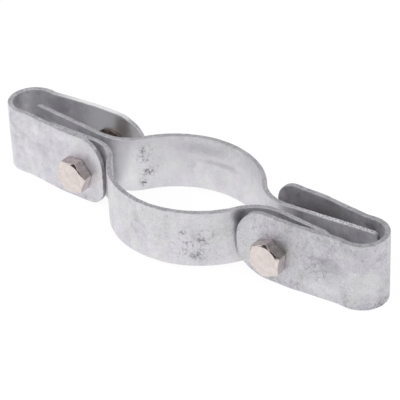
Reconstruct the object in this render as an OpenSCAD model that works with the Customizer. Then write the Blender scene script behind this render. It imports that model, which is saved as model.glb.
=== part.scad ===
// Panel clip for a round post: two bent strap halves grip the post, and a
// U-shaped end clip bolted over each pair of ears grips the edge of a panel.
// The post's axis is Z, the panels lie along X, and the bolt heads face -Y.
// The origin is the middle of the ring, at half the height of the straps.

/* [Strap] */
// Thickness of the strap, zinc coat included
strap_t = 2.2; // [1.5:0.1:3]
// Width of the strap that the ring halves are bent from
ring_strap_w = 25; // [20:1:30]
// Width of the strap that the end clips are bent from
clip_strap_w = 30; // [30:1:40]

/* [Ring halves] */
// Inner radius of the arc in each half
arc_r = 37; // [30:0.5:45]
// Angle of the front arc, on each side of its middle
front_arc_angle = 58; // [54:0.5:62]
// Angle of the back arc, on each side of its middle
back_arc_angle = 54; // [50:0.5:58]
// Inner radius of the bends between the front arc and its ears
front_shoulder_r = 15.6; // [14:0.2:18]
// Inner radius of the bends between the back arc and its ears
back_shoulder_r = 17.2; // [15:0.2:20]
// Gap between the front and back ears where they leave their bends
ear_gap = 2.9; // [1:0.1:5]
// Angle by which the ears lean away from the other half
ear_lean = 5.2; // [3:0.2:6]
// The same for the left front ear, which the left clip's leg holds in
held_ear_lean = 0.8; // [0:0.2:1.6]
// Length by which the back ears outreach the front ears
ear_stagger = 12; // [6:0.5:16]
// Radius of the ears' corners
ear_corner_r = 4; // [1:0.5:8]
// Length that the slotted holes in the ears let a bolt slide
slot_travel = 4; // [3:0.5:8]

/* [End clips] */
// From the bolt's hole to the outside of the bend
hole_to_bend = 44.9; // [40:0.1:52]
// Inner radius of the bend
bend_r = 8.8; // [8:0.2:10]
// How far the bend turns past a half circle, on each side
bend_bulge = 10; // [4:1:16]
// Radius of the waist between the bend and each leg
waist_r = 12; // [8:1:20]
// How far each leg stands out past the bend at its hole
leg_step = 1.8; // [0.8:0.2:3]
// Slope of the legs between the waist and the flat round their holes
leg_slope = 6; // [4:0.5:10]
// Radius of the bends at both ends of that flat
flat_end_r = 14; // [10:1:20]
// From the hole to the round end of the longer leg
long_end = 16; // [14:0.2:17]
// From the hole to the round end of the shorter leg
short_end = 13.4; // [11:0.2:14]
// Radius of the corners of the longer leg
long_corner_r = 13; // [8:0.5:14.5]
// Radius of the corners of the shorter leg
short_corner_r = 8.5; // [6:0.5:12]
// Angle by which the tip of the longer leg bends outwards
tip_angle = 12; // [8:1:14]
// From the hole to the start of that bend
tip_start = 7.6; // [7.6:0.2:9]
// Gap from the end of a back ear to the inside of the right bend
panel_gap = 7.8; // [5:0.2:12]
// Gap between the end of each front leg and the shoulder it rests against
leg_rest_gap = 0.6; // [0.2:0.1:1]

/* [Bolts] */
// How far the left bolt is past the middle of the shoulder bend
left_bolt_offset = 5.5; // [5:0.1:6]
// How far the right bolt is past the middle of the shoulder bend
right_bolt_offset = 2.9; // [2.5:0.1:3.5]
// Height of the bolts below the middle of the straps
bolt_drop = 2.5; // [0:0.5:4]
// Thread diameter
bolt_d = 8; // [6:1:8]
// Width across the flats of head and nut
across_flats = 13; // [12:1:14]
// Height of the head
head_h = 5.3; // [4:0.1:6]
// Height of the nut
nut_h = 6.5; // [5:0.1:7]
// Length of thread that shows past the nut
thread_end = 2.9; // [1.5:0.1:8]
// Clearance round the shank in every hole
hole_clearance = 0.5; // [0.3:0.1:1]
// Turn of the left bolt's head
left_head_turn = 9; // [0:1:59]
// Turn of the right bolt's head
right_head_turn = 24; // [0:1:59]

/* [Hidden] */
$fn = 96;

// Angle of the chamfer on head and nut, and the share of the flats it leaves
chamfer_angle = 30;
chamfer_share = 0.95;
// Chamfer at the tip of the shank
tip_chamfer = 1;
// Turn of the nuts, which nobody lines up
left_nut_turn = 38;
right_nut_turn = 12;
// Cuts run past the faces by this much
past = 1;
// Angle that one flat of a bent strap spans
arc_step = 4;

zinc = [0.80, 0.80, 0.82];
stainless = [0.72, 0.68, 0.66];

// From the middle of an arc to the middle of the bend beside it
function shoulder_distance(shoulder_r) = arc_r + strap_t + shoulder_r;

// How deep a half is, from the inside of its arc to the inside of its ears
function half_depth(angle, shoulder_r) =
    arc_r - shoulder_distance(shoulder_r) * cos(angle)
    + (shoulder_r + strap_t) * cos(ear_lean);

// Inside depth of the ring from front to back, drawn up without a post
ring_depth = half_depth(front_arc_angle, front_shoulder_r)
           + half_depth(back_arc_angle, back_shoulder_r) + ear_gap;
// Each arc's centre lies across the middle of the ring from its strap
arc_shift = arc_r - ring_depth / 2;

// Centre of the shoulder bend at the right of an arc on the +Y side
function shoulder_centre(angle, shoulder_r) =
    shoulder_distance(shoulder_r) * [sin(angle), cos(angle)] - [0, arc_shift];

front_shoulder = shoulder_centre(front_arc_angle, front_shoulder_r);

// The bolts, and with them the end clips, are this far from the post's axis
left_bolt_x = front_shoulder[0] + left_bolt_offset;
right_bolt_x = front_shoulder[0] + right_bolt_offset;
// The ears end this far from the post's axis
back_ear_reach = right_bolt_x + hole_to_bend - strap_t - panel_gap;
front_ear_reach = back_ear_reach - ear_stagger;

// Inside of a leg at its bolt, from the middle plane of its clip
leg_inside = bend_r + leg_step;
// Outside of a leg at its bolt, where head and nut seat
leg_outside = leg_inside + strap_t;
// How far the end of the longer leg stands out past its flat
tip_rise = (long_end - tip_start) * tan(tip_angle);

// Middle plane of a clip whose front leg ends over the shoulder bend, at a
// distance past the bend's middle, and stands out there by a rise
function clip_y(past_middle, rise) =
    sqrt(front_shoulder_r ^ 2 - past_middle ^ 2) - front_shoulder[1]
    - leg_rest_gap + leg_inside + rise;
left_clip_y = clip_y(short_end - left_bolt_offset, 0);
right_clip_y = clip_y(long_end - right_bolt_offset, tip_rise);

bolt_length = 2 * leg_outside + nut_h + thread_end;
hole_r = bolt_d / 2 + hole_clearance;
// The ears' slots are alike left and right, and both bolts lie within them
slot_x = (right_bolt_x + left_bolt_x) / 2;

// Points on an arc about a centre, one for every few degrees
function arc(centre, r, from, to) =
    let (n = ceil(abs(to - from) / arc_step))
    [for (i = [0:n]) let (a = from + (to - from) * i / n) centre + r * [cos(a), sin(a)]];

function reversed(points) = [for (i = [len(points) - 1:-1:0]) points[i]];
function flip_x(points) = [for (p = points) [-p[0], p[1]]];
function flip_y(points) = [for (p = points) [p[0], -p[1]]];

// One face of a half from the middle of its arc to the end of its right ear,
// at a distance from the strap's middle line, outwards positive
function half_face(angle, shoulder_r, reach, lean, out) =
    let (centre = shoulder_centre(angle, shoulder_r),
         r = shoulder_r + strap_t / 2 - out,
         along = [cos(lean), sin(lean)],
         start = centre + r * [sin(lean), -cos(lean)])
    concat(
        arc([0, -arc_shift], arc_r + strap_t / 2 + out, 90, 90 - angle),
        arc(centre, r, 270 - angle, 270 + lean),
        [start + along * (reach + past - start[0]) / along[0]]);

// A ring half from above, with its arc on the +Y side
module half_profile(angle, shoulder_r, reach, left_lean) {
    half_t = strap_t / 2;
    polygon(concat(
        reversed(flip_x(half_face(angle, shoulder_r, reach, left_lean, half_t))),
        half_face(angle, shoulder_r, reach, ear_lean, half_t),
        reversed(half_face(angle, shoulder_r, reach, ear_lean, -half_t)),
        flip_x(half_face(angle, shoulder_r, reach, left_lean, -half_t))));
}

// Rectangle with round corners, about its centre
module rounded_rectangle(w, h, r) {
    square([w - 2 * r, h], center = true);
    square([w, h - 2 * r], center = true);
    for (x = [-1, 1], y = [-1, 1])
        translate([x * (w / 2 - r), y * (h / 2 - r)])
            circle(r);
}

// One half of the ring, with its arc on the +Y side
module ring_half(angle, shoulder_r, reach, left_lean) {
    depth = ring_depth + 4 * strap_t;
    difference() {
        intersection() {
            linear_extrude(ring_strap_w, center = true)
                half_profile(angle, shoulder_r, reach, left_lean);
            rotate([90, 0, 0])
                linear_extrude(depth, center = true)
                    rounded_rectangle(2 * reach, ring_strap_w, ear_corner_r);
        }
        for (side = [-1, 1])
            translate([side * slot_x, 0, -bolt_drop])
                ear_slot(depth);
    }
}

// Slotted hole along X, cut through along Y
module ear_slot(depth) {
    cube([slot_travel, depth, 2 * hole_r], center = true);
    for (end = [-1, 1])
        translate([end * slot_travel / 2, 0, 0])
            rotate([90, 0, 0])
                cylinder(r = hole_r, h = depth, center = true);
}

// One face of a clip's leg on the +Y side, from past its round end to the
// middle of the bend, at a distance from the strap's middle line, outwards
// positive. Here and below, the hole is at x = 0 and the bend is at +X.
function leg_face(out, tip) =
    let (bend_mid_r = bend_r + strap_t / 2,
         bend = [hole_to_bend - strap_t - bend_r, 0],
         waist = bend + (bend_mid_r + waist_r) * [-sin(bend_bulge), cos(bend_bulge)],
         slope_start = waist - waist_r * [sin(leg_slope), cos(leg_slope)],
         flat_y = bend_mid_r + leg_step,
         flat_bend_y = flat_y - flat_end_r,
         rise = flat_bend_y + flat_end_r * cos(leg_slope) - slope_start[1],
         flat_bend_x = slope_start[0] - rise / tan(leg_slope) - flat_end_r * sin(leg_slope),
         tip_bend = [-tip_start, flat_y + flat_end_r],
         tip_end = tip_bend - (flat_end_r - out) * [sin(tip), cos(tip)],
         tip_length = long_end + past - tip_start)
    concat(
        [tip_end + tip_length * [-1, tan(tip)]],
        tip > 0 ? arc(tip_bend, flat_end_r - out, 270 - tip, 270) : [tip_end],
        arc([flat_bend_x, flat_bend_y], flat_end_r + out, 90, 90 - leg_slope),
        arc(waist, waist_r - out, 270 - leg_slope, 270 + bend_bulge),
        arc(bend, bend_mid_r + out, 90 + bend_bulge, 0));

// An end clip from above, its longer leg on the -Y side
module clip_profile() {
    half_t = strap_t / 2;
    polygon(concat(
        leg_face(half_t, 0), reversed(flip_y(leg_face(half_t, tip_angle))),
        flip_y(leg_face(-half_t, tip_angle)), reversed(leg_face(-half_t, 0))));
}

// One side of an end clip from the front: round corners at the leg's end
module leg_outline(end, corner_r) {
    half_w = clip_strap_w / 2;
    translate([corner_r - end, -half_w])
        square([end - corner_r + hole_to_bend, clip_strap_w]);
    translate([-end, corner_r - half_w])
        square([end, clip_strap_w - 2 * corner_r]);
    for (side = [-1, 1])
        translate([corner_r - end, side * (half_w - corner_r)])
            circle(corner_r);
}

// An end clip with its bend at +X and its longer leg on the -Y side
module end_clip() {
    side_depth = leg_outside + tip_rise + past;
    difference() {
        intersection() {
            linear_extrude(clip_strap_w, center = true)
                clip_profile();
            union() {
                rotate([90, 0, 0])
                    linear_extrude(side_depth)
                        leg_outline(long_end, long_corner_r);
                rotate([90, 0, 0])
                    translate([0, 0, -side_depth])
                        linear_extrude(side_depth)
                            leg_outline(short_end, short_corner_r);
            }
        }
        translate([0, 0, -bolt_drop])
            rotate([90, 0, 0])
                cylinder(r = hole_r, h = 2 * side_depth, center = true);
    }
}

// Hexagon that stands on +Z, with a round chamfer on its upper side or on both
module chamfered_hexagon(h, turn, both_sides = false) {
    corner_r = across_flats / 2 / cos(30);
    flat_r = across_flats / 2 * chamfer_share;
    drop = (corner_r + past - flat_r) * tan(chamfer_angle);
    intersection() {
        rotate(turn)
            cylinder(r = corner_r, h = h, $fn = 6);
        rotate_extrude()
            polygon([[0, 0], [both_sides ? flat_r : corner_r + past, 0],
                     [corner_r + past, both_sides ? drop : 0],
                     [corner_r + past, h - drop], [flat_r, h], [0, h]]);
    }
}

// A hexagon head bolt on the Y axis, its head seated at y = 0 and facing -Y
module bolt(turn) {
    rotate([90, 0, 0])
        chamfered_hexagon(head_h, turn);
    rotate([-90, 0, 0])
        rotate_extrude()
            polygon([[0, -head_h / 2], [bolt_d / 2, -head_h / 2],
                     [bolt_d / 2, bolt_length - tip_chamfer],
                     [bolt_d / 2 - tip_chamfer, bolt_length], [0, bolt_length]]);
}

// A nut on the Y axis, seated at y = 0 and reaching towards +Y
module nut(turn) {
    rotate([-90, 0, 0])
        difference() {
            chamfered_hexagon(nut_h, turn, true);
            translate([0, 0, -past])
                cylinder(r = bolt_d / 2, h = nut_h + 2 * past);
        }
}

module front_half() {
    color(zinc)
        mirror([0, 1, 0])
            ring_half(front_arc_angle, front_shoulder_r, front_ear_reach, held_ear_lean);
}

module back_half() {
    color(zinc)
        ring_half(back_arc_angle, back_shoulder_r, back_ear_reach, ear_lean);
}

module left_clip() {
    color(zinc)
        translate([-left_bolt_x, left_clip_y, 0])
            rotate(180)
                end_clip();
}

module right_clip() {
    color(zinc)
        translate([right_bolt_x, right_clip_y, 0])
            end_clip();
}

module left_bolt() {
    color(stainless)
        translate([-left_bolt_x, left_clip_y - leg_outside, -bolt_drop])
            bolt(left_head_turn);
}

module right_bolt() {
    color(stainless)
        translate([right_bolt_x, right_clip_y - leg_outside, -bolt_drop])
            bolt(right_head_turn);
}

module left_nut() {
    color(stainless)
        translate([-left_bolt_x, left_clip_y + leg_outside, -bolt_drop])
            nut(left_nut_turn);
}

module right_nut() {
    color(stainless)
        translate([right_bolt_x, right_clip_y + leg_outside, -bolt_drop])
            nut(right_nut_turn);
}

front_half();
back_half();
left_clip();
right_clip();
left_bolt();
right_bolt();
left_nut();
right_nut();
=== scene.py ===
# %% [markdown]
# # A galvanised panel clip
#
# The object holds the edges of two panels to a round post. Two bent strap
# halves close round the post, and a U-shaped end clip sits over each pair of
# ears. One stainless bolt at each side draws everything together. All strap is
# hot-dip galvanised after bending, so its zinc coat is cloudy and a little
# lumpy. Its cut edges are painted darker: partly duller zinc, and partly
# painted shade.
#
# The imported CAD model comes first: it is the fixed frame that every piece
# below is set into, in metres.

# %% Load the frame
import math

import bmesh
import bpy
import numpy as np
from mathutils import Matrix, Vector, noise


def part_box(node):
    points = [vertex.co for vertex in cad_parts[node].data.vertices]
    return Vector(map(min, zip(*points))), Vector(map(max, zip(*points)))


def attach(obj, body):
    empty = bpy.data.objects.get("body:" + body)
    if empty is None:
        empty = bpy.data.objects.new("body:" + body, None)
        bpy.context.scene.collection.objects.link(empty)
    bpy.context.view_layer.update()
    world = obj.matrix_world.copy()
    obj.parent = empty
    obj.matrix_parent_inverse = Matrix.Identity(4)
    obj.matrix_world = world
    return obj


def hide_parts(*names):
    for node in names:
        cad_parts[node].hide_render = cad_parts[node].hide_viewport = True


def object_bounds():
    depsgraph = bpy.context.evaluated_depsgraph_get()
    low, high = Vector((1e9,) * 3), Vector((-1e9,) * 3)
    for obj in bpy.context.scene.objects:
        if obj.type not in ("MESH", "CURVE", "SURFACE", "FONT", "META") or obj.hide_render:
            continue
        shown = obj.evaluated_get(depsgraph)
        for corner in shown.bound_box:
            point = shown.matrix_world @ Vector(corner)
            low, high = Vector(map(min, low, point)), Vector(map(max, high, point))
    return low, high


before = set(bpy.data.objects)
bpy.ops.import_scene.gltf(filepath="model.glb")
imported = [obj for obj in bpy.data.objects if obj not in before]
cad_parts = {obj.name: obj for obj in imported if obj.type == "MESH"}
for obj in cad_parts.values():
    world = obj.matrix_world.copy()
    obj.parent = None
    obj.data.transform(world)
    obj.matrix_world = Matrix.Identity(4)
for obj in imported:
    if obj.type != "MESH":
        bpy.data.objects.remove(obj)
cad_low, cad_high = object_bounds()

MM = 0.001
scene = bpy.context.scene
print("CAD box in mm:", [round(v / MM, 1) for v in (*cad_low, *cad_high)])

# %% [markdown]
# ## The driving dimensions
#
# A strap part starts as a flat blank with holes, and then goes through a
# press. The few numbers here are what the maker's drawing would give: strap
# sizes, bend radii and angles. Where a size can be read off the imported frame,
# such as how deep the ring is or where a bolt sits, it is read there, so the
# pieces can't drift away from the model that they dress.

# %% Strap, bends and bolts, in millimetres and degrees
strap_t = 2.2
edge_r = 0.35            # zinc rounds the cut edges off
arc_r = 37.0
front_angle, back_angle = 58.0, 54.0
front_shoulder_r, back_shoulder_r = 15.6, 17.2
ear_lean, held_ear_lean = 5.2, 0.8
ear_corner_r = 2.5
slot_travel = 4.0
hole_to_bend = 44.9
bend_r, bend_bulge = 8.8, 10.0
waist_r = 12.0
leg_step, leg_slope = 1.8, 6.0
flat_end_r = 14.0
long_end, long_corner_r = 16.0, 13.0
short_end = 13.4
short_corner_r = {"left": (12.0, 8.0), "right": (8.5, 8.5)}     # upper, lower corner
tip_angle, tip_start = 12.0, 7.6
bolt_r, thread_pitch, thread_depth = 4.0, 1.25, 0.65
across_flats, head_across = 13.0, 13.7
hole_r = bolt_r + 0.5


def sin_of(degrees):
    """Sine of an angle in degrees."""
    return math.sin(math.radians(degrees))


def cos_of(degrees):
    """Cosine of an angle in degrees."""
    return math.cos(math.radians(degrees))


def span(node, axis):
    """Lowest and highest millimetre of a CAD node along one axis."""
    low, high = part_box(node)
    return low[axis] / MM, high[axis] / MM


ring_w = span("back_half", 2)[1] - span("back_half", 2)[0]
clip_w = span("left_clip", 2)[1] - span("left_clip", 2)[0]
print(f"ring strap {ring_w:.1f} wide, clip strap {clip_w:.1f} wide")

# %% [markdown]
# ## The camera
#
# The photograph was taken with a long lens from the front right and above, so
# the far end is hardly smaller than the near one. The camera is placed by the
# angles it looks from and its distance. A little roll and a small step aside
# put the ring where it is in the frame, and no lens shift is needed.

# %% Camera
view_azimuth, view_elevation, view_roll = 38.818, 33.238, -2.417
view_distance = 864.325 * MM
focal_px, frame_px = 2138.126, 400
aim_px = (187.012, 198.201)      # where the ring's middle is in the frame


def look_from(azimuth, elevation, roll):
    """Right, up and back directions of a camera on a sphere round the ring."""
    back = Vector((sin_of(azimuth) * cos_of(elevation),
                   -cos_of(azimuth) * cos_of(elevation), sin_of(elevation)))
    right = Vector((cos_of(azimuth), sin_of(azimuth), 0))
    up = back.cross(right)
    return (right * cos_of(roll) + up * sin_of(roll),
            up * cos_of(roll) - right * sin_of(roll), back)


right, up, back = look_from(view_azimuth, view_elevation, view_roll)
aside = (frame_px / 2 - aim_px[0]) / focal_px * view_distance
above = (aim_px[1] - frame_px / 2) / focal_px * view_distance
camera = bpy.data.objects.new("camera", bpy.data.cameras.new("camera"))
scene.collection.objects.link(camera)
camera.matrix_world = Matrix.Translation(
    right * aside + up * above + back * view_distance) @ Matrix(
    (right, up, back)).transposed().to_4x4()
camera.data.sensor_width = 36
camera.data.lens = focal_px / frame_px * camera.data.sensor_width
camera.data.clip_start, camera.data.clip_end = 0.05, 10
scene.camera = camera
print(f"lens {camera.data.lens:.0f} mm at {view_distance:.3f} m")

# %% [markdown]
# ## Bending a strap
#
# A bend line can be told as a walk: so far straight on, then so far round a
# curve, from the middle of the strap out to one end. Each step of the walk is
# a length and a turn. That is how a press brake is set up too, and it keeps
# every joint between a straight and a bend smooth, because a step starts in
# the direction in which the last one ended.


# %% Walk along a bend line
def curve_step(radius, degrees):
    """Round a curve: its length on the middle line, and its turn to the left."""
    return abs(radius * math.radians(degrees)), degrees


def walk(start, heading, steps, distance):
    """Points and left-hand normals at distances along a walk of steps."""
    distance = np.asarray(distance, float)
    x, y = np.zeros_like(distance), np.zeros_like(distance)
    angle = np.zeros_like(distance)
    px, py, facing, gone = start[0], start[1], math.radians(heading), 0.0
    for number, (length, turn) in enumerate(steps):
        last = number == len(steps) - 1
        here = (distance >= gone) & ((distance < gone + length) | last)
        d = distance - gone
        rate = math.radians(turn) / length
        a = facing + rate * d
        if turn:
            x[here] = (px + (np.sin(a) - math.sin(facing)) / rate)[here]
            y[here] = (py - (np.cos(a) - math.cos(facing)) / rate)[here]
            px += (math.sin(facing + rate * length) - math.sin(facing)) / rate
            py -= (math.cos(facing + rate * length) - math.cos(facing)) / rate
        else:
            x[here] = (px + d * math.cos(facing))[here]
            y[here] = (py + d * math.sin(facing))[here]
            px, py = px + length * math.cos(facing), py + length * math.sin(facing)
        angle[here] = a[here]
        facing, gone = facing + math.radians(turn), gone + length
    return np.stack([x, y], -1), np.stack([-np.sin(angle), np.cos(angle)], -1)


# %% [markdown]
# ## Punching a blank
#
# The blank is a flat outline with holes. A filled 2D curve makes such a plate
# straight from its outline, and the curve's own bevel rounds all its edges,
# round the holes as well. A solidified mesh would need its rims bevelled
# afterwards, and a Boolean cut after bending would leave them ragged.

# %% Outlines, in millimetres along the strap (s) and across it (z)
hole_points = 24
corner_step = 10         # degrees between a corner's points


def round_corner(centre, radius, first):
    """A quarter circle of points that starts at an angle."""
    return [(centre[0] + radius * cos_of(first + a), centre[1] + radius * sin_of(first + a))
            for a in range(0, 91, corner_step)]


def strap_outline(from_s, to_s, width, from_r, to_r):
    """A strap's outline; each end has a radius for its upper and lower corner."""
    half = width / 2
    (from_up, from_down), (to_up, to_down) = from_r, to_r
    return (round_corner((to_s - to_up, half - to_up), to_up, 0)
            + round_corner((from_s + from_up, half - from_up), from_up, 90)
            + round_corner((from_s + from_down, from_down - half), from_down, 180)
            + round_corner((to_s - to_down, to_down - half), to_down, 270))


def slot_outline(s, z, radius, travel=0.0):
    """A round hole, or a slot along the strap where there is travel."""
    half, turn = travel / 2, 360 / hole_points
    angles = [turn * (n + 0.5) for n in range(hole_points)]      # none at 90 or 270
    return [(s + radius * cos_of(a) + math.copysign(half, cos_of(a)), z + radius * sin_of(a))
            for a in angles]


# %% Plate with rounded edges
weld_mm = 0.01           # points closer than this are one


def punch_plate(name, outline, holes):
    """Flat plate in millimetres: x along the strap, y across, z through it."""
    curve = bpy.data.curves.new(name, "CURVE")
    curve.dimensions, curve.fill_mode = "2D", "BOTH"
    curve.extrude = strap_t / 2 - edge_r
    curve.bevel_depth, curve.bevel_resolution, curve.offset = edge_r, 2, -edge_r
    for loop in (outline, *holes):
        spline = curve.splines.new("POLY")
        spline.points.add(len(loop) - 1)
        for point, (s, z) in zip(spline.points, loop):
            point.co = (s, z, 0, 1)
        spline.use_cyclic_u = True
    pattern = bpy.data.objects.new(name, curve)
    scene.collection.objects.link(pattern)
    depsgraph = bpy.context.evaluated_depsgraph_get()
    plate = bmesh.new()
    plate.from_mesh(bpy.data.meshes.new_from_object(pattern.evaluated_get(depsgraph)))
    bpy.data.objects.remove(pattern)
    bmesh.ops.remove_doubles(plate, verts=plate.verts, dist=weld_mm)
    return plate


# %% [markdown]
# The plate is then sliced into short strips and rows, so that it has somewhere
# to bend. The filled outline comes as long thin triangles, and the slices cut
# them into slivers that would show as dark streaks in the sheen. So inside
# each cell of the grid the slivers are joined up again into one face.

# %% Slice the plate
cell_mm = (1.6, 2.5)     # the widest cell, along the strap and across it
snap_mm = 0.03           # a slice this close to a point goes through it


def plate_span(plate):
    """Lowest and highest values of a plate along the strap and across it."""
    return [(min(v.co[axis] for v in plate.verts), max(v.co[axis] for v in plate.verts))
            for axis in (0, 1)]


def tidy_cells(plate, counts):
    """Joins the slivers on the plate's flat sides inside each cell."""
    spans = plate_span(plate)

    def cell(face):
        middle = face.calc_center_median()
        return tuple(math.floor((middle[axis] - low) / ((high - low) / counts[axis]))
                     for axis, (low, high) in enumerate(spans))

    inner = [edge for edge in plate.edges if len(edge.link_faces) == 2
             and all(abs(face.normal.z) > 0.999 for face in edge.link_faces)
             and cell(edge.link_faces[0]) == cell(edge.link_faces[1])]
    bmesh.ops.dissolve_edges(plate, edges=inner, use_verts=False)
    bmesh.ops.dissolve_degenerate(plate, edges=plate.edges, dist=weld_mm)


def slice_plate(plate):
    """Cuts a plate into cells that are no wider than cell_mm."""
    counts = []
    for axis in (0, 1):
        low, high = plate_span(plate)[axis]
        count = math.ceil((high - low) / cell_mm[axis])
        for n in range(1, count):
            place, normal = [0, 0, 0], [0, 0, 0]
            place[axis], normal[axis] = low + (high - low) * n / count, 1
            bmesh.ops.bisect_plane(
                plate, geom=[*plate.verts, *plate.edges, *plate.faces],
                plane_co=place, plane_no=normal, dist=snap_mm)
        counts.append(count)
    tidy_cells(plate, counts)


# %% [markdown]
# ## Pressing the plate into shape
#
# Bending moves each point of the plate to its place on the bend line: so far
# along, and out along the normal by its height in the plate. No modifier is
# needed, and the strap keeps its thickness in every bend.
#
# Hot zinc runs off a strap while it hangs over the bath, so its faces are
# never quite flat. A slow noise, a tenth of a millimetre high, gives the broad
# dents, and a quicker one the lumps, which are strongest along the edges. The
# flat position of every point is kept on the mesh: the zinc's pattern is later
# drawn on the blank, so it follows the strap round its bends instead of
# cutting through it.


# %% Shade a piece and hang it on the frame
def finish_mesh(piece, node, sharp_from):
    """Smooth shading with edges that are sharp from an angle, and its frame data."""
    mesh = bmesh.new()
    mesh.from_mesh(piece.data)
    for edge in mesh.edges:
        edge.smooth = edge.calc_face_angle(0) < math.radians(sharp_from)
    mesh.to_mesh(piece.data)
    mesh.free()
    piece.data.polygons.foreach_set("use_smooth", [True] * len(piece.data.polygons))
    weighted = piece.modifiers.new("even shading", "WEIGHTED_NORMAL")
    weighted.weight, weighted.keep_sharp = 80, True
    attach(piece, "root")
    if node:
        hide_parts(node)
    print(f"{piece.name}: {len(piece.data.vertices)} points, {len(piece.data.polygons)} faces")


# %% Bend a plate into a piece
dent_mm, dent_along, dent_across = 0.13, 21.0, 16.0      # height, and spacing both ways
lump_mm, lump_gap = 0.07, 3.5
lump_share = 0.3         # how much of a lump is left on the open face
edge_band = 2.0          # the lumps grow over this width towards the edges


def press_strap(name, node, plate, bend, seed):
    """Bends a sliced plate with a function of the distance along it."""
    mesh = bpy.data.meshes.new(name)
    plate.to_mesh(mesh)
    plate.free()
    flat = np.empty(len(mesh.vertices) * 3)
    mesh.vertices.foreach_get("co", flat)
    flat = flat.reshape(-1, 3)
    centre, normal = bend(flat[:, 0])
    side_z, side_t = np.sign(flat[:, 1]), np.sign(flat[:, 2])
    dents = np.array([noise.noise(Vector((s / dent_along, z / dent_across, seed)))
                      for s, z, _ in flat])
    lumps = np.array([noise.noise(Vector((s / lump_gap, z / lump_gap, seed + through / 2)))
                      for s, z, through in flat])
    inside_edge = np.abs(flat[:, 1]) - flat[:, 1].max()
    edge = np.clip((inside_edge + edge_band) / edge_band, 0, 1)
    through = flat[:, 2] + dents * dent_mm + lumps * lump_mm * (lump_share + edge) * side_t
    across = flat[:, 1] - side_z * np.abs(lumps) * lump_mm * 2 * edge
    bent = np.column_stack([centre + normal * through[:, None], across]) * MM
    bent = np.clip(bent, np.array(cad_low), np.array(cad_high))      # no lump past the CAD box
    mesh.vertices.foreach_set("co", bent.ravel())
    blank = mesh.attributes.new("blank", "FLOAT_VECTOR", "POINT")
    blank.data.foreach_set("vector", flat.astype(np.float32).ravel())
    mesh.update()
    piece = bpy.data.objects.new(name, mesh)
    scene.collection.objects.link(piece)
    finish_mesh(piece, node, sharp_from=50)
    return piece


# %% [markdown]
# ## The two ring halves
#
# Each half is one bent strap: an arc for the post, a tight shoulder bend the
# other way at both sides, and two flat ears with slotted holes. The back half
# reaches further out than the front one. Both walks start in the middle of the
# arc, which the frame gives as the strap's outermost line. The left side is
# the right side mirrored, but the front half's left ear leans less, because
# its clip holds it nearly straight.

# %% Bend line of a half
ear_run_out = 60.0       # longer than any ear


def half_walk(angle, shoulder_r, lean):
    """From the middle of the arc to the right, past the ear's end."""
    return [curve_step(arc_r + strap_t / 2, -angle),
            curve_step(shoulder_r + strap_t / 2, angle + lean),
            (ear_run_out, 0.0)]


def half_bend(top, angle, shoulder_r, left_lean, side):
    """Bend function of a half whose arc is on the +Y side, or mirrored."""
    def bend(distance):
        left = distance < 0
        points, normals = (np.where(left[:, None], a, b) for a, b in zip(
            walk((0, top), 0, half_walk(angle, shoulder_r, left_lean), np.abs(distance)),
            walk((0, top), 0, half_walk(angle, shoulder_r, ear_lean), np.abs(distance))))
        mirror = np.column_stack([np.where(left, -1.0, 1.0), np.full(len(left), side)])
        return points * mirror, normals * mirror
    return bend


def distance_at_x(bend, x):
    """How far along its strap a bend line reaches a given X."""
    distances = np.linspace(-160, 160, 6401)         # 0.05 mm apart
    return float(np.interp(x, bend(distances)[0][:, 0], distances))


# %% Make both halves
bolt_z = sum(span("left_bolt", 2)) / 2
bolt_x = {"left": sum(span("left_nut", 0)) / 2, "right": sum(span("right_nut", 0)) / 2}
slot_x = (bolt_x["right"] - bolt_x["left"]) / 2

# The back ears reach a little further than in CAD: left and right, as photographed
ear_extra = {"front_half": (0.0, 0.0), "back_half": (1.8, 3.4)}
ear_corners = (ear_corner_r, ear_corner_r)
halves = {}
for name, side, angle, shoulder_r, left_lean, seed in (
        ("front_half", -1, front_angle, front_shoulder_r, held_ear_lean, 3.1),
        ("back_half", 1, back_angle, back_shoulder_r, ear_lean, 7.7)):
    y_low, y_high = span(name, 1)
    reach = span(name, 0)[1]
    left_reach, right_reach = (reach + more for more in ear_extra[name])
    top = (y_high if side > 0 else -y_low) - strap_t / 2
    bend = half_bend(top, angle, shoulder_r, left_lean, side)
    end_left, end_right = (distance_at_x(bend, x) for x in (-left_reach, right_reach))
    slots = [slot_outline(distance_at_x(bend, x), bolt_z, hole_r, slot_travel)
             for x in (-slot_x, slot_x)]
    plate = punch_plate(
        name, strap_outline(end_left, end_right, ring_w, ear_corners, ear_corners), slots)
    slice_plate(plate)
    halves[name] = press_strap(name + "_strap", name, plate, bend, seed)

# %% [markdown]
# ## The two end clips
#
# Both clips are bent alike. The strap runs round a wide bend that closes past
# a half circle, pinches in at a waist and then opens along two legs. The legs
# end in flat seats for the bolt. One leg is longer, and its tip bends
# outwards. The left clip is turned half round about the post, so its longer
# leg is at the back there. A walk from the middle of the bend describes both
# legs, and the length of their slope follows from how far apart they end.

# %% Bend line of a clip
no_tip = 1e-6            # a walk's curve has to turn by something
bend_mid_r = bend_r + strap_t / 2
bend_x = hole_to_bend - strap_t - bend_r
rise_left = (bend_mid_r + leg_step - (bend_mid_r + waist_r) * cos_of(bend_bulge)
             + waist_r * cos_of(leg_slope) - flat_end_r * (1 - cos_of(leg_slope)))
slope_length = rise_left / sin_of(leg_slope)
flat_x = (bend_x - (bend_mid_r + waist_r) * sin_of(bend_bulge)
          - (waist_r + flat_end_r) * sin_of(leg_slope) - slope_length * cos_of(leg_slope))
leg_run_out = 30.0       # longer than any tip
print(f"legs slope for {slope_length:.1f} mm and are flat from {flat_x:.1f} mm before the hole")


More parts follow.
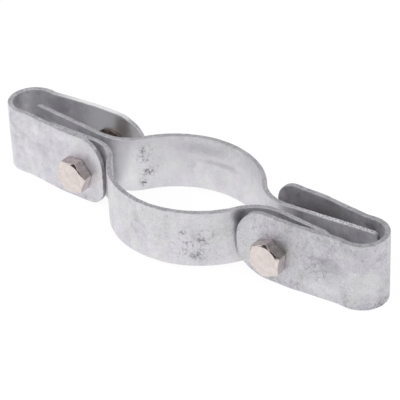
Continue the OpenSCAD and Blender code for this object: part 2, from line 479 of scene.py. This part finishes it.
def leg_walk(tip):
    """From the middle of the bend along the +Y leg, past its end."""
    return [curve_step(bend_mid_r, 90 + bend_bulge),
            curve_step(waist_r, -(bend_bulge + leg_slope)),
            (slope_length, 0.0),
            curve_step(flat_end_r, leg_slope),
            (flat_x + tip_start, 0.0),
            curve_step(flat_end_r, -tip),
            (leg_run_out, 0.0)]


def clip_bend(hole_x, middle_y, turned):
    """Bend function of a clip; the longer leg has the negative distances."""
    def bend(distance):
        long_leg = distance < 0
        points, normals = (np.where(long_leg[:, None], a * (1, -1), b) for a, b in zip(
            walk((bend_x + bend_mid_r, 0), 90, leg_walk(tip_angle), np.abs(distance)),
            walk((bend_x + bend_mid_r, 0), 90, leg_walk(no_tip), np.abs(distance))))
        sign = -1 if turned else 1
        return points * sign + (hole_x, middle_y), -normals * sign
    return bend


def leg_distance(tip, x):
    """How far from the middle of the bend a leg reaches a given X."""
    distances = np.linspace(0, 90, 3601)             # 0.025 mm apart
    xs = walk((bend_x + bend_mid_r, 0), 90, leg_walk(tip), distances)[0][:, 0]
    past_bend = 700                                  # from there on, X only falls
    return float(np.interp(-x, -xs[past_bend:], distances[past_bend:]))


# %% Make both clips
long_s = leg_distance(tip_angle, -long_end)
short_s = leg_distance(no_tip, -short_end)
hole_s = leg_distance(no_tip, 0.0)
print(f"blank of a clip: {long_s + short_s:.1f} mm long, holes {2 * hole_s:.1f} apart")
clips = {}
for side, turned, seed in (("left", True, 12.4), ("right", False, 18.9)):
    node = side + "_clip"
    back_face = span(side + "_nut", 1)[0]            # the nut seats on the back leg
    middle_y = back_face - bend_mid_r - leg_step - strap_t / 2
    bend = clip_bend(bolt_x[side], middle_y, turned)
    holes = [slot_outline(s, bolt_z, hole_r) for s in (-hole_s, hole_s)]
    plate = punch_plate(node, strap_outline(
        -long_s, short_s, clip_w, (long_corner_r, long_corner_r), short_corner_r[side]), holes)
    slice_plate(plate)
    clips[side] = press_strap(node + "_strap", node, plate, bend, seed)

# %% [markdown]
# ## Bolts and nuts
#
# An M8 bolt is cold-headed from wire and its thread is rolled on. Everything
# on it is a stack of rings round one axis: the head's six sides, the round
# chamfer that cuts their corners, and the thread's crests and roots. So a bolt
# is made as rings of points, each with a radius that may change on the way
# round, and only joined up into faces at the end. The chamfer's curved edges
# on the six sides come out by themselves, as they do on a lathe.

# %% Rings of points to a closed mesh
near_corner = 28.9       # short of 30 degrees, which leaves a narrow flat on each corner
side_angles = [-near_corner, *range(-25, 26, 5), near_corner]
around = np.radians([60 * n + a for n in range(6) for a in side_angles])
ring_points = len(around)
print(f"{ring_points} points in a ring")


def turn_piece(name, rings, matrix, node, loop=False):
    """rings is a list of (radii, heights) along the local Z axis."""
    mesh = bmesh.new()
    rows = []
    for radii, heights in rings:
        radii, heights = (np.broadcast_to(v, ring_points) for v in (radii, heights))
        rows.append([mesh.verts.new(Vector((r * math.cos(a), r * math.sin(a), h)) * MM)
                     for r, h, a in zip(radii, heights, around)])
    for lower, upper in zip(rows, rows[1:] + rows[:1] if loop else rows[1:]):
        for n in range(ring_points):
            m = (n + 1) % ring_points
            mesh.faces.new((lower[n], lower[m], upper[m], upper[n]))
    if not loop:
        mesh.faces.new(rows[0][::-1])
        mesh.faces.new(rows[-1])
    bmesh.ops.recalc_face_normals(mesh, faces=mesh.faces)
    piece = bpy.data.objects.new(name, bpy.data.meshes.new(name))
    mesh.to_mesh(piece.data)
    mesh.free()
    scene.collection.objects.link(piece)
    piece.matrix_world = matrix
    finish_mesh(piece, node, sharp_from=22)
    return piece


# %% Hexagon and chamfer
chamfer_angle = 30
face_share = 0.95        # the round end face, as a share of the width across flats


def hexagon(across):
    """Radii of a hexagon, all the way round."""
    return across / 2 / np.cos(np.radians(side_angles * 6))


def chamfer_drop(radii, face_r):
    """How far the chamfer has fallen where the hexagon's side reaches it."""
    return np.maximum(radii - face_r, 0) * math.tan(math.radians(chamfer_angle)) + 0.02


# %% [markdown]
# A rolled thread has round roots and flat crests. Its rings stand a tenth of
# a pitch apart, and each point is in or out by where it is on the helix. The
# thread runs out a pitch before the head.

# %% Thread and bolt
rings_a_pitch, fading_rings = 10, 12
plain_neck = 1.5         # under the head


def thread_radius(height, depth):
    """Radius of the bolt's thread at one height, all the way round."""
    phase = (height / thread_pitch - around / (2 * math.pi)) % 1
    crest = np.clip(2.4 * np.abs(phase - 0.5) * 2 - 0.6, 0, 1)       # 0 is the root
    return bolt_r - depth * (1 - crest * crest * (3 - 2 * crest))    # with soft flanks


def bolt_rings(head_h, length):
    """A bolt with its head on +Z and its shank down to -length."""
    sides, face_r = hexagon(head_across), head_across / 2 * face_share
    top = head_h - chamfer_drop(sides, face_r)
    rings = [(r, head_h) for r in (1.2, 3.6, face_r - 0.5, face_r)]  # the end face
    rings += [(sides - 0.1, top + 0.04), (sides, top - 0.1)]         # the chamfer's edge
    rings += [(sides, top + (0.3 - top) * share) for share in (0.35, 0.7, 1.0)]
    rings += [(sides - 0.15, 0.1), (face_r * 0.98, 0.05),            # under the head
              (face_r * 0.97, 0.0), (bolt_r + 0.4, 0.0), (bolt_r, -0.3)]
    heights = np.arange(-plain_neck, -length + 1.0, -thread_pitch / rings_a_pitch)
    rings += [(thread_radius(height, thread_depth * min(1.0, n / fading_rings)), height)
              for n, height in enumerate(heights)]
    tip = [(bolt_r - 0.75, -length + 0.35), (bolt_r - 1.0, -length), (1.0, -length)]
    return rings + tip


# %% Nut
bore_r, mouth_r, mouth_deep = bolt_r + 0.1, bolt_r + 0.75, 0.45


def nut_rings(height, flange_r=0.0):
    """A nut from z = 0 up, with chamfers, and a round flange if it has one."""
    sides, face_r = hexagon(across_flats), across_flats / 2 * face_share
    drop = chamfer_drop(sides, face_r)
    if flange_r:
        lower = [(bore_r, 0.4), (bolt_r + 0.6, 0.0), (flange_r - 0.3, 0.0),
                 (flange_r, 0.3), (flange_r, 0.9), (flange_r - 0.3, 1.2),
                 (sides + 0.5, 1.9), (sides, 2.4)]
    else:
        lower = [(bore_r, mouth_deep), (mouth_r, 0.0), (face_r - 0.15, 0.0),
                 (face_r + 0.1, 0.1), (sides - 0.12, drop - 0.03), (sides, drop + 0.1)]
    upper = [(sides, height / 2), (sides, height - drop - 0.1),
             (sides - 0.12, height - drop + 0.03), (face_r + 0.1, height - 0.1),
             (face_r - 0.15, height), (mouth_r, height), (bore_r, height - mouth_deep)]
    return lower + upper


# %% [markdown]
# The bolts point away from the viewer, so their heads face the front. Inside
# the left clip the photograph shows the rim of something round and brown
# against the back leg, just above the ear. A flange nut on the bolt is the
# plainest thing that it can be: it stops the leg from being drawn in. The
# right bolt gets one too, where the ear hides it.

# %% Make bolts and nuts
flange_nut_h, flange_r, flange_nut_turn = 6.2, 9.2, 20
clip_depth = 2 * (bend_mid_r + leg_step + strap_t / 2)       # over both legs' flat seats


def seated(x, y, facing, turn):
    """A seat at the bolt's height, facing -Y or +Y, the hexagon turned on it."""
    return (Matrix.Translation(Vector((x, y, bolt_z)) * MM)
            @ Matrix.Rotation(-facing * math.pi / 2, 4, "X")
            @ Matrix.Rotation(math.radians(turn), 4, "Z"))


steel = []
for side, head_turn, nut_turn in (("left", 39, 38), ("right", 54, 12)):
    front_y, tip_y = span(side + "_bolt", 1)
    nut_low, nut_high = span(side + "_nut", 1)
    head_seat = nut_low - clip_depth
    steel.append(turn_piece(
        side + "_hex_bolt", bolt_rings(head_seat - front_y, tip_y - head_seat),
        seated(bolt_x[side], head_seat, -1, head_turn), side + "_bolt"))
    steel.append(turn_piece(
        side + "_hex_nut", nut_rings(nut_high - nut_low),
        seated(bolt_x[side], nut_low, 1, nut_turn), side + "_nut", loop=True))
    steel.append(turn_piece(
        side + "_flange_nut", nut_rings(flange_nut_h, flange_r),
        seated(bolt_x[side], nut_low - strap_t, -1, flange_nut_turn), None, loop=True))

# %% [markdown]
# ## Colours and nodes
#
# Colours are written as a screen shows them, and one function turns them into
# the linear numbers that the renderer works with. A second function adds a
# node together with its settings and its links, which keeps a material's
# recipe readable from top to bottom. Patterns are weighed into a tone by how
# far they are from their middle, so a pattern that is added makes the tone
# livelier and not lighter.


# %% Helpers for materials
def colour(hex_code):
    """An sRGB colour such as #d0d0d4 in linear numbers."""
    parts = [int(hex_code[n:n + 2], 16) / 255 for n in (1, 3, 5)]
    return (*(c / 12.92 if c <= 0.04045 else ((c + 0.055) / 1.055) ** 2.4 for c in parts), 1)


def add(tree, kind, inputs=(), stops=(), **settings):
    """A node with its settings, inputs and colour stops.

    The inputs are a list in the sockets' own order, or a dict by socket name.
    Each is a value, an output, or a node, which stands for its first output.
    """
    node = tree.nodes.new("ShaderNode" + kind)
    for key, value in settings.items():
        setattr(node, key, value)
    for key, value in inputs.items() if isinstance(inputs, dict) else enumerate(inputs):
        if isinstance(value, bpy.types.Node):
            value = value.outputs[0]
        if isinstance(value, bpy.types.NodeSocket):
            tree.links.new(value, node.inputs[key])
        else:
            node.inputs[key].default_value = value
    for n, (place, rgba) in enumerate(stops):
        elements = node.color_ramp.elements
        stop = elements[n] if n < len(elements) else elements.new(place)
        stop.position, stop.color = place, rgba
    return node


def weigh(tree, tone, *patterns):
    """The tone, plus amount * (pattern - 0.5) for each pattern and amount."""
    for pattern, amount in patterns:
        off_middle = add(tree, "Math", [pattern, 0.5], operation="SUBTRACT")
        tone = add(tree, "Math", [off_middle, amount, tone], operation="MULTIPLY_ADD")
    return tone


def new_material(name):
    """An empty material, and its node tree."""
    material = bpy.data.materials.new(name)
    material.use_nodes = True
    material.node_tree.nodes.clear()
    return material, material.node_tree


# %% [markdown]
# ## Hot-dip galvanised steel
#
# The strap comes out of a bath of molten zinc. Zinc is a metal, so its colour
# is the colour of its reflections: a light, slightly cool grey. Fresh from the
# bath it would be bright, but it dulls within days to a broad, soft sheen.
# What makes it zinc and not paint is that nothing on it is even. It has clouds
# a centimetre or two wide where the coat is thicker, faint crystals of a few
# millimetres, upright runs where the zinc drained, fine wrinkles and a sandy
# grain, and in places its skin has cracked. Each pattern is one noise with a
# size in millimetres on the blank, so a real coat can be measured with a
# ruler and written down here.

# %% The coat's patterns
smooth = {"interpolation_type": "SMOOTHSTEP"}
coat_noises = {          # size in mm, detail, distortion, how far drawn out across the strap
    "clouds": (14.0, 4, 0.6, 1),
    "patches": (4.9, 3, 0.8, 1),
    "runs": (2.2, 2, 0.3, 7),
    "wrinkles": (2.6, 4, 2.2, 1),
    "grain": (0.75, 3, 0.8, 1),      # 0.3 mm on the real coat, coarser so that it shows
    "tint": (11.2, 1, 0.0, 1),
    "bends": (1.6, 2, 0.0, 1),       # bend the cracks
    "breaks": (2.3, 3, 1.0, 1),      # break them off
    "crumbs": (1.3, 4, 1.5, 1)}
crystal_mm, crack_gap_mm, crack_bend_mm = 3.2, 2.8, 2.2


def coat_patterns(tree, offset):
    """Every pattern of a coat, moved on the blank so that no two straps are alike."""
    blank = add(tree, "Attribute", attribute_name="blank").outputs["Vector"]
    place = add(tree, "VectorMath", [blank, (offset, offset * 0.7, offset)], operation="ADD")
    coat = {"blank": blank}
    for name, (size_mm, detail, distortion, drawn_out) in coat_noises.items():
        vector = add(tree, "VectorMath", [place, (1, 1 / drawn_out, 1)], operation="MULTIPLY")
        coat[name] = add(tree, "TexNoise", {
            "Vector": vector, "Scale": 1 / size_mm, "Detail": detail,
            "Roughness": 0.6, "Distortion": distortion})
    crystals = add(tree, "TexVoronoi", {"Vector": place, "Scale": 1 / crystal_mm})
    coat["crystals"] = add(tree, "SeparateColor", [crystals.outputs["Color"]])

    # Hair cracks are the edges between small cells, bent and broken off by noise
    shift = add(tree, "VectorMath", [coat["bends"].outputs["Color"], (crack_bend_mm,) * 3],
                operation="MULTIPLY")
    bent = add(tree, "VectorMath", [place, shift], operation="ADD")
    cells = add(tree, "TexVoronoi", {"Vector": bent, "Scale": 1 / crack_gap_mm},
                feature="DISTANCE_TO_EDGE")
    coat["cracks"] = add(tree, "Math", [
        add(tree, "MapRange", [cells, 0.02, 0.10, 1.0, 0.0], **smooth),
        add(tree, "MapRange", [coat["breaks"], 0.47, 0.58, 0.0, 1.0], **smooth)],
        operation="MULTIPLY")
    return coat


# %% [markdown]
# Over the patterns that are everywhere come the marks of this one clip. Some
# are its own, such as cracks and crusts. Many washes are painted light and
# painted shade: lighter on faces that catch light, darker inside the clips,
# between the ears and beside a leg's end, and one brown painted reflection. A
# mark is a soft spot on the blank whose rim is broken up by the patches: a wash
# is plain, cracks and crusts show only through their own pattern, and painted
# glints are bright specks on a cut edge. Painting them as an image would be
# quicker, but a spot given in millimetres stays sharp from close by and can be
# moved by typing.

# %% Marks on the coat
rim_marks = ("painted_glints", "bright_rim")            # these lie on the cut edges


def add_marks(tree, colours, marks, coat):
    """Lays marks over a coat's colours, one after the other."""
    broken_by = {
        "cracks": coat["cracks"],
        "crust": add(tree, "MapRange", [coat["crumbs"], 0.46, 0.60, 0.0, 1.0], **smooth),
        "painted_glints": add(tree, "MapRange", [coat["grain"], 0.42, 0.6, 0.0, 1.0], **smooth)}
    for kind, s, z, face, wide, high, hex_code, strength in marks:
        away = add(tree, "VectorMath", [coat["blank"], (s, z, face * strap_t / 2)],
                   operation="SUBTRACT")
        away = add(tree, "VectorMath", [away, (1 / wide, 1 / high, 1 / strap_t)],
                   operation="MULTIPLY")
        away = add(tree, "VectorMath", [away], operation="LENGTH").outputs["Value"]
        inside = add(tree, "MapRange", [
            weigh(tree, away, (coat["patches"], 0.7)), 0.2, 1.0, strength, 0.0], **smooth)
        if kind in broken_by:
            inside = add(tree, "Math", [inside, broken_by[kind]], operation="MULTIPLY")
        colours = add(tree, "Mix", {"Factor": inside, "A": colours, "B": colour(hex_code)},
                      data_type="RGBA").outputs["Result"]
    return colours


# %% [markdown]
# The coat's colour starts as a light and a dark zinc, mixed by the weighed
# patterns. On the cut edges the coat is thinner and duller, and it is painted
# darker still as painted shade. The shader is nearly all metal, and a fifth of
# it scatters light as paint does: that is the pale skin of zinc carbonate that
# dulls the metal.


# %% Zinc coat
def zinc_coat(name, offset, light, dark, grain_amount, sand_amount, marks,
              rim_light="#b4b3b8", rim_dark="#828186"):
    """Galvanised strap between a light and a dark tone, with its marks."""
    material, tree = new_material(name)
    coat = coat_patterns(tree, offset)
    patches, grain = coat["patches"], coat["grain"]
    tone = weigh(tree, 0.55, (coat["clouds"], 1.5), (patches, 0.9), (coat["runs"], 0.35),
                 (coat["wrinkles"], 0.9 * grain_amount), (coat["crystals"], 0.14),
                 (grain, grain_amount))
    middle = [a * 0.45 + b * 0.55 for a, b in zip(colour(dark), colour(light))]
    shade = add(tree, "ValToRGB", [tone], stops=[
        (0.05, colour(dark)), (0.85, colour(light)), (0.42, middle)])

    # Faint lilac and green, as a thin oxide film shows
    hue = add(tree, "ValToRGB", [coat["tint"]], stops=[
        (0.35, colour("#fbf9fe")), (0.65, colour("#fbfcfb"))])
    colours = add(tree, "Mix", {"Factor": 1.0, "A": shade, "B": hue},
                  data_type="RGBA", blend_type="MULTIPLY").outputs["Result"]

    # Dark sand: the deepest hollows of the grain hold a little dirt, here and there
    hollows = add(tree, "Math", [
        add(tree, "MapRange", [grain, 0.28, 0.42, sand_amount, 0.0], **smooth),
        add(tree, "MapRange", [patches, 0.42, 0.58, 0.15, 1.0], **smooth)],
        operation="MULTIPLY")
    colours = add(tree, "Mix", {"Factor": hollows, "A": colours, "B": colour("#77767a")},
                  data_type="RGBA").outputs["Result"]
    colours = add_marks(tree, colours, [m for m in marks if m[0] not in rim_marks], coat)

    # The cut edges, by how far a point is from the strap's middle plane: duller zinc, painted
    # darker also as painted shade
    through = add(tree, "SeparateXYZ", [coat["blank"]]).outputs["Z"]
    outward = add(tree, "Math", [through], operation="ABSOLUTE")
    rim = add(tree, "MapRange", [
        outward, strap_t / 2 - edge_r * 0.7, strap_t / 2 - edge_r * 0.05, 0.85, 0.0], **smooth)
    rim_tone = add(tree, "MapRange", [
        weigh(tree, patches, (grain, 1.8)), 0.25, 0.8, 0.0, 1.0], **smooth)
    rim_zinc_and_shade = add(tree, "Mix", {
        "Factor": rim_tone, "A": colour(rim_dark), "B": colour(rim_light)},
        data_type="RGBA").outputs["Result"]
    colours = add(tree, "Mix", {"Factor": rim, "A": colours, "B": rim_zinc_and_shade},
                  data_type="RGBA").outputs["Result"]
    colours = add_marks(tree, colours, [m for m in marks if m[0] in rim_marks], coat)

    rough = add(tree, "MapRange", [
        weigh(tree, coat["clouds"], (patches, 1.0)), 0.2, 0.8, 0.33, 0.56], **smooth)
    relief = weigh(tree, 0.5, (patches, 0.5), (grain, 0.22), (coat["clouds"], 1.2),
                   (coat["wrinkles"], 0.8 * grain_amount))
    bump = add(tree, "Bump", {"Height": relief, "Strength": 0.55, "Distance": 0.35 * MM})
    shader = add(tree, "BsdfPrincipled", {
        "Base Color": colours, "Metallic": 0.8, "Roughness": rough, "Normal": bump})
    add(tree, "OutputMaterial", {"Surface": shader})
    return material


# %% The marks of each strap
# A mark: kind, place along and across the blank, outer face 1, inner face -1 or
# cut edge 0, half size along and across, colour, strength
# The grey of the smudges serves both dirt and painted shade, and the bright colour serves both
# lighter zinc and painted light; each strap's list says which.
ash, smudge_and_painted_shade, bright, painted_reflection_brown = "#6f6e72", "#8f8e93", "#f8f8f9", "#9a8f89"
# Front half: the first wash is painted shade on the right shoulder's outer face, beside the
# right clip's leg end. The cracks and crusts are the coat's own.
front_marks = [
    ("wash", 38.5, 9.5, 1, 4, 5, smudge_and_painted_shade, 0.9), ("cracks", 21, -3, 1, 14, 12, ash, 0.6),
    ("crust", 23.8, 0, 1, 2.2, 2.2, ash, 1.0), ("crust", 22.5, -8, 1, 5, 3, ash, 0.8),
    ("crust", 16.8, 3.5, 1, 2, 2, ash, 0.8)]
# Back half: the bright wash at -44 is painted light inside the left shoulder, the wash at 84 is
# painted shade on the right back ear between the ears, and the mark on that ear's top edge is
# painted glints. The two faint washes near the middle only darken a band on the inner wall.
back_marks = [
    ("wash", -44, 0, -1, 9, 16, bright, 0.9), ("wash", -10, 7, -1, 16, 4, smudge_and_painted_shade, 0.3),
    ("wash", -2, 1.5, -1, 15, 2, smudge_and_painted_shade, 0.3),
    ("cracks", -35, 0, -1, 8, 13, ash, 0.55), ("crust", -36.8, 6, -1, 1.5, 5, ash, 1.0),
    ("crust", -34.5, -3.5, -1, 3.6, 3.2, ash, 1.0), ("crust", -37, -8.5, -1, 2.4, 3, ash, 1.0),
    ("wash", 84, 0, -1, 22, 14, smudge_and_painted_shade, 0.45), ("painted_glints", 80, 12.5, 0, 26, 2.5, bright, 0.75)]
# Left clip: the first wash is painted shade on the back leg's inner face near the bend, and the
# two bright washes are painted light on it by the bolt. The brown wash is a painted reflection
# of the bolt and nut in that face, and the bright mark on the far rim is a painted highlight.
left_marks = [
    ("wash", -22, 9, -1, 8, 10, smudge_and_painted_shade, 0.3), ("wash", -44, 8, -1, 18, 16, bright, 1.0),
    ("wash", -62, 8, -1, 7, 14, bright, 1.0), ("wash", -55.5, 10, -1, 5.5, 11, painted_reflection_brown, 0.6),
    ("bright_rim", -42, 15, 0, 30, 3, bright, 0.75)]
# Right clip: the first wash is painted shade on the back leg's inner face, behind the ear, and
# the bright wash at -60 is painted light on the front face beside the bolt head. The other
# washes only lighten or darken patches, and the crust and cracks are the coat's own.
right_marks = [
    ("wash", 42, 8, -1, 34, 18, smudge_and_painted_shade, 0.4), ("crust", -1, -14, 1, 8, 3.5, ash, 0.9),
    ("wash", -60, 2, 1, 8, 14, bright, 0.25), ("wash", -28, -10, 1, 14, 5, bright, 0.3),
    ("wash", -22, 1, 1, 8, 5, smudge_and_painted_shade, 0.35), ("wash", -9, -3, 1, 9, 11, bright, 0.3),
    ("cracks", -28, -2, 1, 10, 12, ash, 0.5), ("cracks", -52, 4, 1, 14, 13, smudge_and_painted_shade, 0.5)]

# %% Coat the straps
zinc_looks = {
    "front_half": zinc_coat("galvanised_zinc_ring_front", 31.0, "#ecebed", "#c0bfc3",
                            0.75, 0.3, front_marks),
    "back_half": zinc_coat("galvanised_zinc_ring_back", 57.0, "#f0eff1", "#c8c7ca",
                           0.45, 0.12, back_marks),
    # The left clip's lighter rim colours are partly a painted highlight on its far rim.
    "left": zinc_coat("galvanised_zinc_left_clip", 83.0, "#ecebee", "#b4b3b7",
                      0.45, 0.12, left_marks, rim_light="#c2c1c6", rim_dark="#86858a"),
    "right": zinc_coat("galvanised_zinc_right_clip", 112.0, "#dfdee1", "#a3a2a7",
                       1.0, 0.32, right_marks),
}
for key, piece in {**halves, **clips}.items():
    piece.data.materials.append(zinc_looks[key])
print("zinc looks:", ", ".join(look.name for look in zinc_looks.values()))

# %% [markdown]
# ## Cold-headed stainless steel
#
# A2 stainless is a warm, slightly brown grey next to zinc. The header's die
# leaves the sides smooth and the face a little matt, and the pickling bath
# afterwards leaves soft clouds. It is shinier than the strap, so it shows a
# clear light side and a dark side. The flange nuts are pressed from the same
# steel, and the rim of the one that shows in the photograph is dull and brown.
# Their steel is painted dark, which also stands in as painted shade of the gap
# between ear and back leg where the nut sits.

# %% Stainless steel
speck_mm, stain_mm = 0.5, 3.0
polish_range = 0.14      # how much rougher the stains are than the rest


def stainless_steel(name, light, dark, rough_from):
    """Cold-formed stainless steel, with patterns in the piece's own space."""
    material, tree = new_material(name)
    place = add(tree, "TexCoord").outputs["Object"]
    stains = add(tree, "TexNoise", {
        "Vector": place, "Scale": 1 / (stain_mm * MM), "Detail": 3, "Distortion": 0.5})
    specks = add(tree, "TexNoise", {"Vector": place, "Scale": 1 / (speck_mm * MM), "Detail": 2})
    tone = add(tree, "Math", [specks, 0.35, stains], operation="MULTIPLY_ADD")
    shade = add(tree, "ValToRGB", [tone], stops=[(0.45, colour(dark)), (0.85, colour(light))])
    rough = add(tree, "MapRange", [stains, 0.3, 0.7, rough_from, rough_from + polish_range])
    bump = add(tree, "Bump", {"Height": specks, "Strength": 0.25, "Distance": 0.03 * MM})
    shader = add(tree, "BsdfPrincipled", {
        "Base Color": shade, "Metallic": 1.0, "Roughness": rough, "Normal": bump})
    add(tree, "OutputMaterial", {"Surface": shader})
    return material


headed_steel = stainless_steel("stainless_steel_cold_headed", "#e6dcd9", "#d3c8c4", 0.14)
# Dark brown for the flange nuts: dull steel, and painted shade of the gap they sit in
dull_brown_shaded_steel = stainless_steel("stainless_steel_dull_brown_shaded", "#8d827c", "#4f4743", 0.3)
for piece in steel:
    look = dull_brown_shaded_steel if piece.name.endswith("flange_nut") else headed_steel
    piece.data.materials.append(look)
    print(piece.name, "is", look.name)

# %% [markdown]
# ## Floor, backdrop and light
#
# The part lies on a white floor that runs up into a white backdrop, under
# soft light. The camera should see plain white behind the part, without more
# light on the part itself. So the floor and the world glow white only for rays
# that come from the camera or off something shiny, and a share of the floor
# stays ordinary white paint, which keeps the part's soft shadow.


# %% White paper and black felt
def seen_directly(tree):
    """1 for camera, glossy and transmission rays, and 0 for all others."""
    path = add(tree, "LightPath")
    either = add(tree, "Math", [path.outputs["Is Camera Ray"], path.outputs["Is Glossy Ray"]],
                 operation="MAXIMUM")
    return add(tree, "Math", [either, path.outputs["Is Transmission Ray"]],
               operation="MAXIMUM")


white = (1, 1, 1, 1)
glow_strength, glow_share = 1.03, 0.9    # with the painted share this makes plain white
paper, tree = new_material("white_paper_sweep")
painted = add(tree, "BsdfDiffuse", {"Color": white})
glowing = add(tree, "Emission", {"Color": white, "Strength": glow_strength})
share = add(tree, "Math", [seen_directly(tree), glow_share], operation="MULTIPLY")
add(tree, "OutputMaterial", {"Surface": add(tree, "MixShader", [share, painted, glowing])})

felt, tree = new_material("black_felt_card")
black = add(tree, "BsdfDiffuse", {"Color": colour("#2a2a2c")})
add(tree, "OutputMaterial", {"Surface": black})


def hang_sheet(name, rows, material):
    """A sheet of faces between two rows of points."""
    mesh = bmesh.new()
    first, second = ([mesh.verts.new(point) for point in row] for row in rows)
    for n in range(len(first) - 1):
        mesh.faces.new((first[n], first[n + 1], second[n + 1], second[n]))
    sheet = bpy.data.objects.new(name, bpy.data.meshes.new(name))
    mesh.to_mesh(sheet.data)
    mesh.free()
    sheet.data.materials.append(material)
    scene.collection.objects.link(sheet)
    return sheet


# %% Floor and backdrop, in metres
floor_z = cad_low.z - 0.02 * MM
floor_front, floor_side, backdrop_high = -1.6, 2.0, 2.0
sweep_y, sweep_r = 1.4, 0.3      # behind the camera, also when it looks from the back
profile = [(floor_front, 0.0), (sweep_y, 0.0)]
profile += [(sweep_y + sweep_r * sin_of(a), sweep_r - sweep_r * cos_of(a))
            for a in range(10, 91, 10)]
profile += [(sweep_y + sweep_r, backdrop_high)]
sweep = hang_sheet("sweep", [[(x, y, floor_z + z) for y, z in profile]
                             for x in (-floor_side, floor_side)], paper)
sweep.data.polygons.foreach_set("use_smooth", [True] * len(sweep.data.polygons))
print(f"floor at {floor_z / MM:.2f} mm")

# %% World and lamps
world_light, world_seen = 0.62, 1.0      # strength as a light, and as a backdrop
world = bpy.data.worlds.new("studio")
world.use_nodes = True
world.node_tree.nodes.clear()
tree = world.node_tree
strength = add(tree, "MapRange", {
    "Value": seen_directly(tree), "To Min": world_light, "To Max": world_seen})
sky = add(tree, "Background", {"Color": white, "Strength": strength})
add(tree, "OutputWorld", {"Surface": sky})
scene.world = world
scene.view_settings.view_transform = "Standard"


def softbox(name, place, size, watts):
    """A square lamp that looks at the part."""
    lamp = bpy.data.objects.new(name, bpy.data.lights.new(name, "AREA"))
    lamp.data.shape, lamp.data.size, lamp.data.energy = "SQUARE", size, watts
    lamp.location = place
    lamp.rotation_mode = "QUATERNION"
    lamp.rotation_quaternion = (-Vector(place)).to_track_quat("-Z", "Y")
    lamp.visible_glossy = False      # soft light without a lamp's own highlight
    scene.collection.objects.link(lamp)
    print(f"{name}: {watts:.0f} W, {size:.1f} m wide")


softbox("softbox_key", (-0.8, -0.9, 0.9), 0.8, 7.0)
softbox("softbox_fill", (0.9, -0.5, 1.1), 0.9, 4.0)

# %% [markdown]
# A shiny bolt head in an all-white room looks like paper. A photographer puts
# dark cards near it, out of view: the sides and the chamfer that face them
# turn dark, and the head gets its shape. A near one stands at the front right,
# for the heads' sides, and a far one hangs in a wide bow in front and at the
# left, for their chamfers. They show in reflections only, and take no light
# from the part.


# %% Dark cards
def dark_card(name, bow, low, high):
    """An upright card bent along a line of (x, y) points, in metres."""
    card = hang_sheet(name, [[(x, y, z) for x, y in bow] for z in (low, high)], felt)
    card.visible_camera = card.visible_diffuse = card.visible_shadow = False
    print(f"{name}: {high - low:.2f} m high")


dark_card("near_card", [(0.085, -0.18), (0.14, -0.155), (0.20, -0.10), (0.24, -0.02)],
          floor_z, 0.20)
dark_card("far_card", [(-1.3, -0.9), (-0.9, -1.05), (-0.35, -1.15), (0.2, -1.15), (0.7, -1.0)],
          0.16, 0.60)
